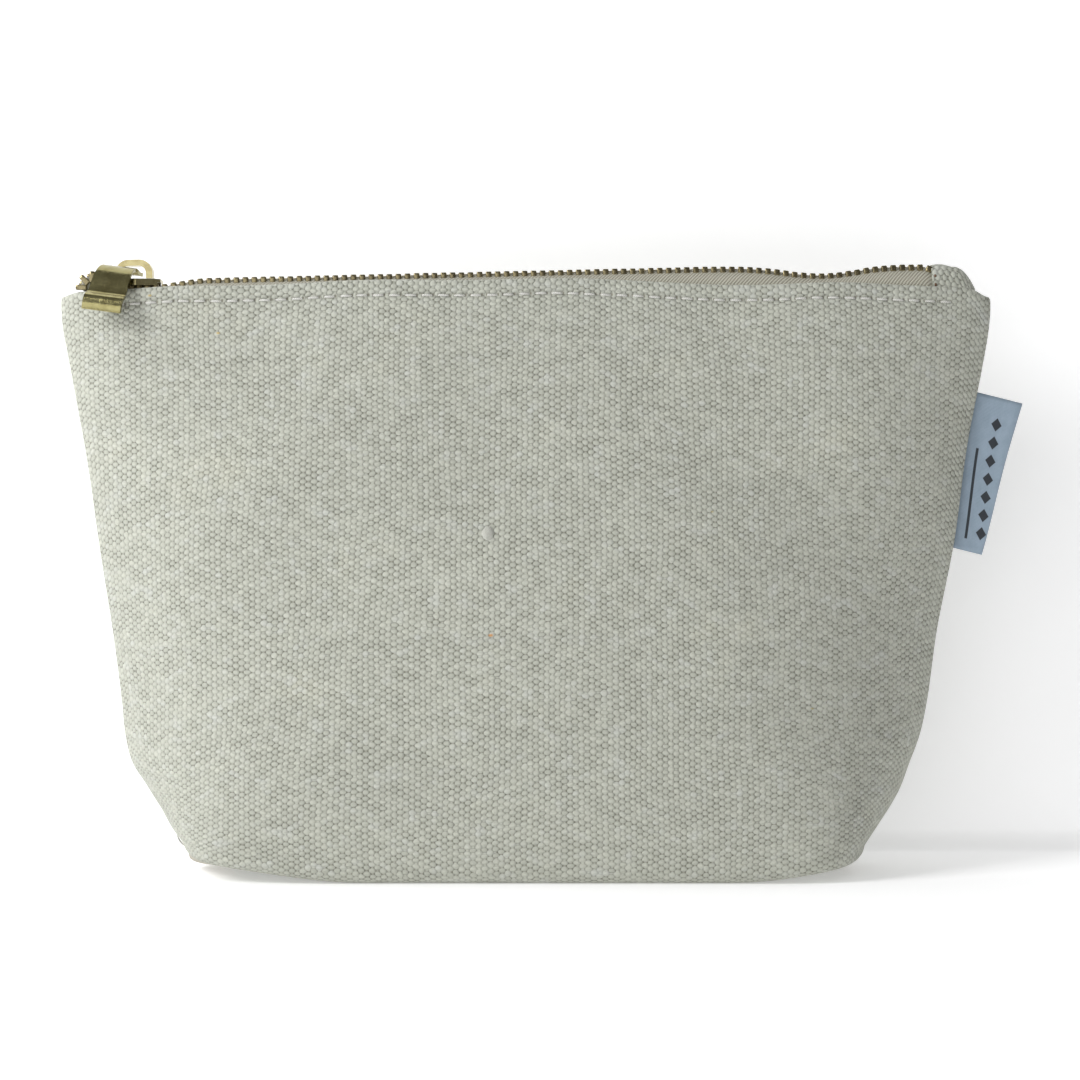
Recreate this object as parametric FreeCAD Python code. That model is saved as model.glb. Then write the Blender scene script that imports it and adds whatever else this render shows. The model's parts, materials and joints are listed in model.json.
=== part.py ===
import FreeCAD, Part
import math
import os

# A canvas pouch with a boxed base and a metal zip along its top.
# It stands on its base: +Z up, +X to the right along the zip, front towards -Y.
# The origin is the middle of the base's underside. Millimetres throughout.

V = FreeCAD.Vector

# ---- cloth ----
canvas_thickness = 0.95
lining_thickness = 0.45
seam_half_thickness = 1.0      # the two panels pressed together along a side seam
seam_allowance = 1.2           # cloth taken up inside each side seam
pouch_height = 132.0           # floor to the fold beside the zip
lining_top = 122.0
lining_gap = 0.02              # between the canvas and the lining
base_round = 2.2               # radius of the soft edge round the base

# Level above the floor, half width at the side seams, half depth, squareness of the level.
levels = [
    (0.0, 75.5, 25.0, 30.0),
    (12.0, 81.0, 26.0, 12.0),
    (31.0, 89.3, 24.5, 5.0),
    (60.0, 93.8, 19.5, 3.2),
    (95.0, 99.1, 12.8, 3.6),
    (122.0, 103.8, 7.6, 20.0),
    (132.0, 104.9, 6.2, 30.0),
]
section_power = 0.85
columns = 28                   # facets from one side seam to the other
wall_heights = [6, 12, 21, 31, 45, 60, 77, 95, 108, 115, 122, 127]
round_rows = 2                 # facets round the base's soft edge

# ---- zip ----
zip_rise = math.radians(1.3)  # the chain climbs a little towards +X
chain_x = -88.0                # middle of the slider when the zip is shut
chain_z = 131.0                # height of the chain there
tooth_pitch = 2.03
tooth_thickness = 0.94
tooth_length = 2.6
tooth_height = 1.9
tooth_reach = 0.7              # how far a tooth crosses the middle of the chain
chain_end_x = 98.0             # under the tab
tape_thickness = 0.5
tape_inner = 1.3               # edge of the tape from the middle of the chain
tape_outer = 5.05              # where the tape lies against the canvas
narrow_tape = 2.6              # half width of the tape's right end, inside the tab
tape_bottom = 123.0            # height of the tape's sewn edge behind the canvas
fan_x, fan_z = -97.8, 131.6    # centre of the curve at the tape's left end
fan_radius = 2.4               # edge of the tape round that centre
fan_y = 1.4                    # middle of the turned tape from the seam plane
fan_drop = 6.0                 # depth of the turned tape below that centre
fan_teeth = 4
fan_start = 97.0               # angle of the first of them, in degrees above +X
fan_step = 31.0
fan_stagger = -10.0            # the back row's teeth fall between the front row's
tape_gap_ends = 0.3            # tape left clear of the slider's nose and of the tab

# ---- slider ----
slider_length = 11.3
slider_half_width = 4.35
slider_tail_half_width = 3.0
slider_plate = 0.75
slider_channel = 2.5           # height of the space for the teeth
diamond_half_width = 0.8
diamond_length = 3.8
rail_width = 0.62
tape_gap = 1.1                 # slot between the rails for the tape
row_spread = 1.65              # each row's shift where it passes the diamond
spread_end = 0.9               # the rows have met this far right of the slider's middle
spread_length = 4.2            # and take this long to do it
nose_cut = 1.0                 # corners cut off the plates
tail_cut = 1.2
shoulder = 0.5                 # the plates begin to narrow here
mouth_end = 0.2                # the rails stand further apart up to here
bridge_length = 8.4
bridge_height = 4.6
bridge_depth = 2.6
bridge_thickness = 1.4
bridge_gap = 0.35              # between the bridge's free end and the body
bridge_left = -4.6             # outer face of the bridge's leg from the slider's middle
bridge_round = 3.0
left_leg, right_leg = 1.2, 1.5

# ---- puller ----
puller_width = 9.0             # at its free end
puller_top_width = 7.5
taper_start, taper_end = 3.0, 10.0
puller_thickness = 0.8
slot_width = 4.2
slot_start, slot_end = -1.55, 3.4
puller_yaw = math.radians(9)
puller_roll = math.radians(8)
profile_steps = 40
pivot = V(-91.0, 0.0, 134.7)   # on the puller's swing axis, beside the bridge's leg
# Side view of the plate: distance in front of the pivot, height above it.
puller_profile = [
    (-2.3, 0.35), (0.0, 0.35), (2.4, 0.8), (4.4, 0.45), (6.2, -0.85), (7.5, -2.8), (8.3, -4.6),
    (9.3, -6.0), (10.4, -6.6), (10.9, -7.5), (11.0, -9.7),
]

# ---- tab, label, thread ----
tab_start, tab_end = 91.5, 101.8
tab_leg_end = 96.0             # the tab reaches down inside the pouch as far as this
tab_half_width = 4.3
tab_top = 137.5
tab_bottom = 126.0
tab_round = 1.6
label_length = 36.5
label_out_top, label_out_bottom = 11.0, 7.0
label_top_z = 108.9
label_drop_top, label_drop_bottom = 2.5, 1.2   # its outer corners hang this far
label_sewn_in = 1.1
label_layer_gap = 0.2          # between its two layers
label_fold = 0.6
label_thickness = 0.25
thread = 0.45
stitch_pitch = 3.63
stitch_length = 2.7
topstitch_drop = 3.0           # below the fold
gusset_half = 14.0             # half length of the seam across each end of the base
topstitch_start, topstitch_end = -96.0, 95.0
seam_thread_in = 0.7           # side seam's thread from the edge of the cloth
gusset_thread_in = 2.0         # threads of the base from its soft edge
base_thread_in = 3.0
tab_stitch_in = 1.2            # stitches through the tab: from its edge, below the chain
tab_stitch_drop, tab_stitch_length, tab_stitch_pitch = 2.2, 1.7, 2.4
tab_stitches = 3


def at_height(z, column):
    """Value of one column of the levels at height z."""
    for low, high in zip(levels, levels[1:]):
        if z <= high[0]:
            t = (z - low[0]) / (high[0] - low[0])
            return low[column] + t * (high[column] - low[column])
    return levels[-1][column]


def half_section(z, shrink, allowance, inset):
    """Half an outline of the pouch at height z, end to end, as (x, distance in front) pairs."""
    half_width = at_height(z, 1) - allowance - inset
    half_depth = at_height(z, 2) - shrink - inset
    end = seam_half_thickness * (1 - shrink / 3)
    points = [(-half_width, 0.0)]
    for i in range(columns + 1):
        q = -math.cos(math.pi * i / columns)
        rise = max(1 - abs(q) ** at_height(z, 3), 0.0) ** section_power
        points.append((q * half_width, end + (half_depth - end) * rise))
    points.append((half_width, 0.0))
    return points


def depth_at(x, z):
    """Distance of the outer cloth from the plane of the side seams."""
    q = min(abs(x) / at_height(z, 1), 1.0)
    rise = (1 - q ** at_height(z, 3)) ** section_power
    return seam_half_thickness + (at_height(z, 2) - seam_half_thickness) * rise


def cloth_rows(side, shrink, allowance, top):
    """Rows of points over one face of half the pouch: down the wall, then in under the base."""
    floor = shrink
    soft = max(base_round - shrink, 0.6)
    wall = [z for z in wall_heights if floor + soft + 2 < z < top - 1]
    rows = []
    for z in [top] + wall[::-1] + [floor + soft]:
        rows.append([V(x, side * y, z) for x, y in half_section(z, shrink, allowance, 0.0)])
    for i in range(1, round_rows + 1):
        turn = math.pi / 2 * i / round_rows
        z = floor + soft * (1 - math.sin(turn))
        inset = soft * (1 - math.cos(turn))
        rows.append([V(x, side * y, z) for x, y in half_section(z, shrink, allowance, inset)])
    rows.append([V(p.x, 0, p.z) for p in rows[-1]])
    return rows


def cloth_half(side, shrink, thickness, allowance, extra, top):
    """Half the pouch in cloth of one thickness, a closed faceted solid up to the seam plane."""
    outer = cloth_rows(side, shrink, allowance, top)
    inner = cloth_rows(side, shrink + thickness, allowance + extra, top)
    facets = []

    def quad(a, b, c, d):
        facets.extend([(a, b, c), (a, c, d)])

    for upper, lower in zip(outer, outer[1:]):
        for i in range(len(upper) - 1):
            quad(upper[i], upper[i + 1], lower[i + 1], lower[i])
    for upper, lower in zip(inner, inner[1:]):
        for i in range(len(upper) - 1):
            quad(upper[i], lower[i], lower[i + 1], upper[i + 1])
    for i in range(len(outer[0]) - 1):
        quad(inner[0][i], inner[0][i + 1], outer[0][i + 1], outer[0][i])
        quad(outer[-1][i], outer[-1][i + 1], inner[-1][i + 1], inner[-1][i])
    for j in range(len(outer) - 1):
        quad(inner[j][0], outer[j][0], outer[j + 1][0], inner[j + 1][0])
        quad(outer[j][-1], inner[j][-1], inner[j + 1][-1], outer[j + 1][-1])
    return solid_from(facets)


def solid_from(facets):
    """A solid from triangles, with shared corners joined and empty triangles left out."""
    corners, index, triangles = [], {}, []
    for facet in facets:
        triangle = []
        for point in facet:
            key = (round(point.x, 4), round(point.y, 4), round(point.z, 4))
            if key not in index:
                index[key] = len(corners)
                corners.append(V(*key))
            triangle.append(index[key])
        if len(set(triangle)) == 3:
            triangles.append(tuple(triangle))
    shape = Part.Shape()
    shape.makeShapeFromMesh((corners, triangles), 0.001)
    solid = Part.Solid(Part.Shell(shape.Faces))
    if solid.Volume < 0:
        solid.reverse()
    return solid


def box(x0, x1, y0, y1, z0, z1):
    return Part.makeBox(x1 - x0, y1 - y0, z1 - z0, V(x0, y0, z0))


def chain_height(x):
    return chain_z + (x - chain_x) * math.tan(zip_rise)


def along_zip(shape):
    """Tilt a shape drawn about the slider's middle, level, onto the chain."""
    placed = shape.copy()
    placed.translate(V(chain_x, 0, chain_z))
    placed.rotate(V(chain_x, 0, chain_z), V(0, 1, 0), -math.degrees(zip_rise))
    return placed


def panel(side):
    return cloth_half(side, 0.0, canvas_thickness, 0.0, seam_allowance, pouch_height)


def lining(side):
    skin = canvas_thickness + lining_gap
    return cloth_half(side, skin, lining_thickness, seam_allowance + lining_gap, lining_thickness,
                      lining_top)


def tape_fan(side):
    """The tape's left end: its toothed edge turns over and down into the corner."""
    disc = Part.makeCylinder(fan_radius, tape_thickness, V(fan_x, 0, fan_z), V(0, 1, 0))
    tail = box(fan_x - fan_radius, fan_x, 0, tape_thickness, fan_z - fan_drop / 2, fan_z)
    web = box(fan_x, chain_x - slider_length / 2 - tape_gap_ends, 0, tape_thickness,
              fan_z - fan_drop, fan_z + tape_thickness / 2)
    fan = disc.fuse([tail, web])
    fan.translate(V(0, side * fan_y - tape_thickness / 2, 0))
    return fan


def tape(side):
    """One half of the tape: flat beside the teeth, then down behind the canvas."""
    start = -slider_length / 2 - 2 * tape_gap_ends
    full = tab_start - tape_gap_ends - chain_x
    end = chain_end_x + 1 - chain_x
    half = tape_thickness / 2
    near, far = sorted((side * tape_inner, side * tape_outer))
    flat = box(start, full, near, far, -half, half)
    inner_face, outer_face = sorted((side * (tape_outer - tape_thickness), side * tape_outer))
    drop = box(start, full, inner_face, outer_face, -20, half)
    near, far = sorted((side * tape_inner, side * narrow_tape))
    narrow = box(full - 0.1, end, near, far, -half, half)
    below = box(-200, 200, -10, 10, 0, tape_bottom)
    strip = along_zip(flat.fuse([drop, narrow])).cut(below)
    near, far = sorted((side * (fan_y - half), side * tape_outer))
    step_x = chain_x - slider_length / 2
    step = box(step_x - 2 * tape_gap_ends, step_x - tape_gap_ends, near, far,
               fan_z - fan_drop, fan_z - tape_thickness)
    return strip.fuse([step, tape_fan(side)]).removeSplitter()


def spread_at(x):
    """Shift of a tooth row away from the middle of the chain, from the slider's tail on."""
    t = (chain_x + spread_end - x) / spread_length
    t = min(max(t, 0.0), 1.0)
    return row_spread * t * t * (3 - 2 * t)


def tooth():
    """One tooth, pointing to +Y, astride the edge of the tape."""
    block = box(-tooth_thickness / 2, tooth_thickness / 2, -tooth_length, 0,
                -tooth_height / 2, tooth_height / 2)
    slit = tape_thickness / 2 + 0.02
    return block.cut(box(-1, 1, -tooth_length - 1, -tooth_reach - tape_inner + 0.1, -slit, slit))


def teeth(side):
    row = []
    offset = 0.0 if side < 0 else tooth_pitch / 2
    count = int((chain_end_x - chain_x + slider_length / 2) / tooth_pitch)
    for i in range(count):
        x = chain_x - slider_length / 2 + 0.5 + offset + i * tooth_pitch
        piece = tooth()
        if side > 0:
            piece.rotate(V(0, 0, 0), V(0, 0, 1), 180)
        shift = spread_at(x)
        piece.translate(V(x - chain_x, -side * tooth_reach + side * shift, 0))
        clear = box(-1, 1, -10, 10, -tape_thickness / 2 - 0.02, tape_thickness / 2 + 0.02)
        clear.translate(V(x - chain_x, side * (10 + tape_inner - 0.1), 0))
        row.append(along_zip(piece.cut(clear)))
    for i in range(fan_teeth):
        angle = fan_start + i * fan_step + (fan_stagger if side > 0 else 0)
        piece = tooth()
        piece.rotate(V(0, 0, 0), V(1, 0, 0), 90)
        piece.translate(V(0, 0, fan_radius + tooth_reach + tape_inner))
        piece.rotate(V(0, 0, 0), V(0, 1, 0), 90 - angle)
        piece.translate(V(fan_x, side * fan_y, fan_z))
        row.append(piece)
    return Part.makeCompound(row)


def slider_plan(z, height):
    """A slider plate: wide over the diamond, narrower at the tail, with cut corners."""
    half = slider_length / 2
    wide, narrow = slider_half_width, slider_tail_half_width
    upper = [(-half, wide - nose_cut), (-half + nose_cut, wide), (shoulder, wide),
             (half - tail_cut, narrow), (half, narrow - tail_cut)]
    lower = [(x, -y) for x, y in reversed(upper)]
    outline = [V(x, y, z) for x, y in upper + lower]
    return Part.Face(Part.makePolygon(outline + outline[:1])).extrude(V(0, 0, height))


def slider_bridge(base):
    """The C-shaped bridge: a leg at the left, an arch, and a free end at the right."""
    left = bridge_left
    right = left + bridge_length
    top = base + bridge_height
    thick = bridge_thickness
    outer = box(left, right, -bridge_depth / 2, bridge_depth / 2, base - 0.1, top)
    corners = [e for e in outer.Edges
               if abs(e.CenterOfMass.z - top) < 0.01 and abs(e.CenterOfMass.y) < 0.01]
    outer = outer.makeFillet(bridge_round, corners)
    window = box(left + left_leg, right - right_leg, -5, 5, base, top - thick)
    corners = [e for e in window.Edges
               if abs(e.CenterOfMass.z - top + thick) < 0.01 and abs(e.CenterOfMass.y) < 0.01]
    window = window.makeFillet(bridge_round - thick, corners)
    gap = box(right - right_leg - 0.3, right + 1, -5, 5, base - 0.2, base + bridge_gap)
    return outer.cut(window).cut(gap)


def slider():
    """One casting: two plates, side rails, the diamond between them and the bridge."""
    half_channel = slider_channel / 2
    top = slider_plan(half_channel, slider_plate)
    bottom = slider_plan(-half_channel - slider_plate, slider_plate)
    whole = slider_plan(-half_channel, slider_channel)
    core = box(-20, 20, -slider_tail_half_width + rail_width, slider_tail_half_width - rail_width,
               -5, 5)
    mouth = box(-20, mouth_end, -slider_half_width + rail_width, slider_half_width - rail_width, -5, 5)
    rails = whole.cut(core).cut(mouth)
    rails = rails.cut(box(-20, 20, -10, 10, -tape_gap / 2, tape_gap / 2))
    middle = -slider_length / 2 + 0.2 + diamond_length / 2
    plan = [(middle - diamond_length / 2, 0), (middle, diamond_half_width),
            (middle + diamond_length / 2, 0), (middle, -diamond_half_width)]
    plan = [V(x, y, -half_channel) for x, y in plan]
    wedge = Part.Face(Part.makePolygon(plan + plan[:1])).extrude(V(0, 0, slider_channel))
    bridge = slider_bridge(half_channel + slider_plate)
    return along_zip(top.fuse([bottom, rails, wedge, bridge]).removeSplitter())


def puller():
    """A plate bent in an S, with a slot at its top for the bridge's leg."""
    outline = Part.BSplineCurve()
    outline.interpolate([V(0, -u, h) for u, h in puller_profile])
    first, last = outline.FirstParameter, outline.LastParameter
    samples = [outline.value(first + (last - first) * i / profile_steps)
               for i in range(profile_steps + 1)]
    upper, lower = [], []
    for i, point in enumerate(samples):
        step = samples[min(i + 1, profile_steps)] - samples[max(i - 1, 0)]
        normal = V(0, -step.z, step.y)
        normal.normalize()
        upper.append(point + normal * (puller_thickness / 2))
        lower.append(point - normal * (puller_thickness / 2))
    faces = []
    for points in (upper, lower):
        curve = Part.BSplineCurve()
        curve.interpolate(points)
        faces.append(curve)
    ends = [Part.LineSegment(upper[0], lower[0]), Part.LineSegment(upper[-1], lower[-1])]
    wire = Part.Wire(Part.__sortEdges__([c.toShape() for c in faces + ends]))
    plate = Part.Face(wire).extrude(V(puller_width, 0, 0))
    plate.translate(V(-puller_width / 2, 0, 0))
    wide, narrow = puller_width / 2, puller_top_width / 2
    right_side = [(narrow, 5), (narrow, -taper_start), (wide, -taper_end), (wide, -20)]
    plan = [V(x, y, -20) for x, y in right_side + [(-x, y) for x, y in reversed(right_side)]]
    plate = plate.common(Part.Face(Part.makePolygon(plan + plan[:1])).extrude(V(0, 0, 40)))
    slot = box(-slot_width / 2, slot_width / 2, -slot_end, -slot_start, -2, 3)
    plate = plate.cut(slot)
    plate.rotate(V(0, 0, 0), V(0, 1, 0), math.degrees(puller_roll))
    plate.rotate(V(0, 0, 0), V(0, 0, 1), -math.degrees(puller_yaw))
    plate.translate(pivot)
    return plate


def zip_end_tab():
    """Canvas folded over the end of the zip, open towards the slider and underneath."""
    def cover(half_width, top, end):
        block = box(tab_start, end, -half_width, half_width, tab_bottom, top)
        rims = [e for e in block.Edges if abs(e.CenterOfMass.z - top) < 0.01
                and abs(e.CenterOfMass.x - tab_start) > 0.01]
        return block.makeFillet(tab_round, rims)

    wall = canvas_thickness
    outer = cover(tab_half_width, tab_top, tab_end)
    inner = cover(tab_half_width - wall, tab_top - wall, tab_end - wall)
    under = box(tab_leg_end, tab_end + 1, -10, 10, 0, pouch_height + 0.2)
    return outer.cut(inner).cut(under)


def seam_x(z):
    return at_height(z, 1)


def side_label():
    """A ribbon folded in half and sewn into the right side seam."""
    top, bottom = label_top_z, label_top_z - label_length
    thick = label_thickness
    half_gap = label_layer_gap / 2
    outline = [
        V(seam_x(top) - label_sewn_in, 0, top),
        V(seam_x(top) + label_out_top, 0, top - label_drop_top),
        V(seam_x(bottom) + label_out_bottom, 0, bottom - label_drop_bottom),
        V(seam_x(bottom) - label_sewn_in, 0, bottom),
    ]
    face = Part.Face(Part.makePolygon(outline + outline[:1]))
    front = face.extrude(V(0, -thick, 0))
    front.translate(V(0, -half_gap, 0))
    back = face.extrude(V(0, thick, 0))
    back.translate(V(0, half_gap, 0))
    top_out, bottom_out = outline[1], outline[2]
    inward = V(-label_fold, 0, 0)
    fold = Part.Face(Part.makePolygon([top_out, bottom_out, bottom_out + inward, top_out + inward, top_out]))
    fold = fold.extrude(V(0, label_layer_gap, 0))
    fold.translate(V(0, -half_gap, 0))
    return front.fuse([back, fold]).removeSplitter()


def stitch(start, end):
    """One visible length of thread."""
    way = end - start
    return Part.makeCylinder(thread / 2, way.Length, start, way)


def topstitching(side):
    stitches = []
    z = pouch_height - topstitch_drop
    count = int((topstitch_end - topstitch_start) / stitch_pitch)
    for i in range(count):
        x0 = topstitch_start + i * stitch_pitch
        x1 = x0 + stitch_length
        stitches.append(stitch(V(x0, side * depth_at(x0, z), z), V(x1, side * depth_at(x1, z), z)))
    return Part.makeCompound(stitches)


def seam_stitches(points):
    """Thread through a seam along a line of points, one stitch every pitch."""
    stitches = []
    for start, end in zip(points, points[1:]):
        way = end - start
        count = max(int(way.Length / stitch_pitch), 1)
        step = way * (1.0 / count)
        for i in range(count):
            begin = start + step * i
            stitches.append(stitch(begin, begin + step * (stitch_length / stitch_pitch)))
    return Part.makeCompound(stitches)


def side_seam(side):
    heights = [4, 12, 31, 60, 95, 122, 129]
    return seam_stitches([V(side * (seam_x(z) - seam_thread_in), 0, z) for z in heights])


def gusset_seam(side):
    x = side * (levels[0][1] - base_round - gusset_thread_in)
    z = canvas_thickness / 2
    return seam_stitches([V(x, -gusset_half, z), V(x, gusset_half, z)])


def base_seam():
    x = levels[0][1] - base_round - base_thread_in
    z = canvas_thickness / 2
    return seam_stitches([V(-x, 0, z), V(x, 0, z)])


def tab_stitching():
    x = tab_start + tab_stitch_in
    stitches = []
    for y in (-tab_half_width, tab_half_width):
        for i in range(tab_stitches):
            z = chain_height(x) - tab_stitch_drop - i * tab_stitch_pitch
            stitches.append(stitch(V(x, y, z), V(x, y, z - tab_stitch_length)))
    return Part.makeCompound(stitches)


pieces = {
    "front_panel": panel(-1),
    "back_panel": panel(1),
    "lining_front": lining(-1),
    "lining_back": lining(1),
    "zip_tape_front": tape(-1),
    "zip_tape_back": tape(1),
    "zip_teeth_front": teeth(-1),
    "zip_teeth_back": teeth(1),
    "slider_body": slider(),
    "puller": puller(),
    "zip_end_tab": zip_end_tab(),
    "side_label": side_label(),
    "topstitching_front": topstitching(-1),
    "topstitching_back": topstitching(1),
    "tab_stitching": tab_stitching(),
    "side_seam_thread_left": side_seam(-1),
    "side_seam_thread_right": side_seam(1),
    "gusset_seam_thread_left": gusset_seam(-1),
    "gusset_seam_thread_right": gusset_seam(1),
    "base_seam_thread": base_seam(),
}

os.makedirs("parts", exist_ok=True)
for name, shape in pieces.items():
    shape.exportStep("parts/" + name + ".step")
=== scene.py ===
import json
import math

import bmesh
import bpy
import numpy as np
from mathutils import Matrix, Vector, noise


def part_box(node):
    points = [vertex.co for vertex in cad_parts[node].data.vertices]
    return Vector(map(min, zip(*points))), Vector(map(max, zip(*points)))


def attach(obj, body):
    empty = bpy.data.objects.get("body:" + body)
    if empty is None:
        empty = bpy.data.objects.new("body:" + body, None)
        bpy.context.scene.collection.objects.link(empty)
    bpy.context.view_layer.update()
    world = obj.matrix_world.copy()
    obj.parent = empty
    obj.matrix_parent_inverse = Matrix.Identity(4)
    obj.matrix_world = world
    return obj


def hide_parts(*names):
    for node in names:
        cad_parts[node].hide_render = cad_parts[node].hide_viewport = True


# A canvas pouch with a metal zip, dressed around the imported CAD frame. Sizes are in millimetres,
# and MM turns them into the frame's metres. X runs along the zip, the front faces -Y, Z is up.

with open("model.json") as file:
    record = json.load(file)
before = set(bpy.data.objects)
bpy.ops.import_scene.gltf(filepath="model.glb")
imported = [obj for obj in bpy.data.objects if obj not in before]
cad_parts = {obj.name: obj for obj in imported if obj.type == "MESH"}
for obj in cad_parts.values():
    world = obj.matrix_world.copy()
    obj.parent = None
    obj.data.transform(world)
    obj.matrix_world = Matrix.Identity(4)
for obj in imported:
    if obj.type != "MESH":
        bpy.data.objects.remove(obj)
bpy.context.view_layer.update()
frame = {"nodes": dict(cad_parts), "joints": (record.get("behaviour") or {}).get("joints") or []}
MM = 0.001


def node_box(name):
    low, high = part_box(name)
    return low / MM, high / MM


# ---------------------------------------------------------------- sizes

panel_high = node_box("front_panel")[1]
slider_low, slider_high = node_box("slider_body")
tab_low, tab_high = node_box("zip_end_tab")
label_low, label_high = node_box("side_label")
tape_high = node_box("zip_tape_front")[1]

canvas = 0.9                       # thickness of each cloth
lining_cotton_thickness = 0.3
tape_thickness = 0.42
tab_thickness = 0.85
ribbon_thickness = 0.13
fold_height = panel_high.z - 0.4   # top of the fold beside the zip
hem = 10.0                         # cloth turned in along the zip
widest = 104.5                     # half width at the fold
warp_pitch, weft_pitch = 1.22, 0.69
fold_radius = 0.75
base_radius = 3.2
hem_inset = 0.993                  # the hem is this much narrower than the wall
seam_pinch = 0.35                  # how much of the fold's roundness is left at the side seams
lining_inset = canvas + 0.75

slide_joint = next(j for j in frame["joints"] if j["name"] == "slider_slide")
chain_slope = slide_joint["axis"][2] / slide_joint["axis"][0]
slider_x = (slider_low.x + slider_high.x) / 2
chain_z = slider_low.z + 2.0 + chain_slope * (slider_high.x - slider_low.x) / 2
tooth_pitch = 2.03

# Half width of the pouch at the left and right side seams, by height.
outline = [
    (0.0, 73.5, 73.5), (6.4, 79.2, 77.9), (13.0, 82.2, 81.6), (19.0, 85.2, 84.4), (24.0, 88.4, 86.2),
    (30.0, 90.0, 88.4), (37.0, 90.7, 90.0), (54.0, 92.8, 92.5), (74.0, 96.0, 96.3), (95.0, 99.1, 99.1),
    (115.0, 102.5, 102.7), (128.0, 104.5, 104.5), (132.0, 104.5, 104.5),
]
# Half depth and squareness of a level, by height.
girth = [
    (0.0, 24.6, 22.0), (12.0, 25.6, 11.0), (31.0, 24.0, 4.8), (60.0, 19.2, 3.8), (95.0, 12.8, 4.8),
    (115.0, 9.0, 8.0), (126.0, 6.8, 12.0), (132.0, 5.9, 16.0),
]
seam_half = 0.9
section_power = 0.85


def smooth_table(rows, column, z):
    """A smooth curve through one column of a table whose first column is height."""
    zs = [row[0] for row in rows]
    values = [row[column] for row in rows]
    z = min(max(z, zs[0]), zs[-1])
    i = max(k for k in range(len(zs) - 1) if zs[k] <= z)
    slopes = np.diff(values) / np.diff(zs)

    def tangent(k):
        if k in (0, len(zs) - 1):
            return slopes[min(k, len(slopes) - 1)]
        return (slopes[k - 1] + slopes[k]) / 2

    step = zs[i + 1] - zs[i]
    t = (z - zs[i]) / step
    a, b = tangent(i) * step, tangent(i + 1) * step
    rise = values[i + 1] - values[i]
    return values[i] + a * t + (3 * rise - 2 * a - b) * t * t + (a + b - 2 * rise) * t ** 3


def smoothstep(low, high, x):
    t = min(max((x - low) / (high - low), 0.0), 1.0)
    return t * t * (3 - 2 * t)


def bell(x, middle, width):
    return math.exp(-((x - middle) / width) ** 2)


def fold_line(x):
    """Height of the fold beside the zip: a little slack, dropping at the pouch's corners."""
    slack = 1.8 * bell(x, 8, 26) + 1.2 * bell(x, -34, 20) + 0.8 * bell(x, 70, 14) - 0.85
    left = 1.0 * smoothstep(76, 97, -x) + 0.9 * smoothstep(99, 104.8, -x) ** 2
    right = 1.9 * smoothstep(97.0, 104.5, x) ** 2
    return fold_height + slack - left - right


def corner_lift(x):
    """How far the soft ends of the base stand off the floor."""
    left = 3.6 * smoothstep(38, 76, -x)
    right = 2.6 * smoothstep(48, 76, x)
    return left + right


def wobble(x, z, side):
    """Shallow waves in the cloth."""
    p = Vector((x / 46.0, z / 38.0, 3.1 * side))
    q = Vector((x / 17.0, z / 21.0, 7.7 * side))
    edge = smoothstep(0, 14, widest - 0.5 - abs(x)) * smoothstep(0, 22, z)
    return (1.5 * noise.noise(p) + 0.35 * noise.noise(q)) * edge


def section_depth(q, z, shrink=0.0):
    """Distance of the cloth's middle from the seam plane; q runs from -1 to 1 across."""
    half = smooth_table(girth, 1, z) - shrink
    power = smooth_table(girth, 2, z)
    swell = max(1 - abs(q) ** power, 0.0) ** section_power
    return seam_half * (1 - shrink / 4) + (half - seam_half) * swell


def section_x(q, z, shrink=0.0):
    column = 1 if q < 0 else 2
    return q * (smooth_table(outline, column, z) - shrink)


def cloth_point(q, z, side, shrink=0.0):
    x = section_x(q, z, shrink)
    y = section_depth(q, z, shrink) + (wobble(x, z, side) if shrink == 0 else 0.0)
    return Vector((x, side * y, z))


# ---------------------------------------------------------------- mesh helpers

def mesh_object(name, points, faces, uvs=None):
    """A smooth-shaded mesh from points in millimetres, with an optional UV per point."""
    mesh = bpy.data.meshes.new(name)
    mesh.from_pydata([tuple(p * MM for p in point) for point in points], [], faces)
    mesh.update()
    if uvs is not None:
        layer = mesh.uv_layers.new(name="cloth")
        for loop in mesh.loops:
            layer.data[loop.index].uv = uvs[loop.vertex_index]
    for polygon in mesh.polygons:
        polygon.use_smooth = True
    piece = bpy.data.objects.new(name, mesh)
    bpy.context.scene.collection.objects.link(piece)
    return piece


def grid_faces(rows, columns, flip=False):
    faces = []
    for j in range(rows - 1):
        for i in range(columns - 1):
            a = j * columns + i
            face = (a, a + 1, a + columns + 1, a + columns)
            faces.append(face[::-1] if flip else face)
    return faces


def sheet_object(name, grid, uv_grid, thickness, flip=False):
    """Cloth of one thickness from a grid of points on its middle surface."""
    points = [p for row in grid for p in row]
    uvs = [uv for row in uv_grid for uv in row]
    piece = mesh_object(name, points, grid_faces(len(grid), len(grid[0]), flip), uvs)
    solid = piece.modifiers.new("thickness", "SOLIDIFY")
    solid.thickness = thickness * MM
    solid.offset = 0.0
    solid.use_even_offset = False
    return piece


def lengths_along(points, start=0.0):
    total = [start]
    for a, b in zip(points, points[1:]):
        total.append(total[-1] + (Vector(b) - Vector(a)).length)
    return total


def dress(piece, material, body, slot, *replaced):
    piece.data.materials.clear()
    piece.data.materials.append(material)
    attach(piece, body)
    if replaced:
        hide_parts(*replaced)
    return piece


# ---------------------------------------------------------------- material helpers

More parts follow.
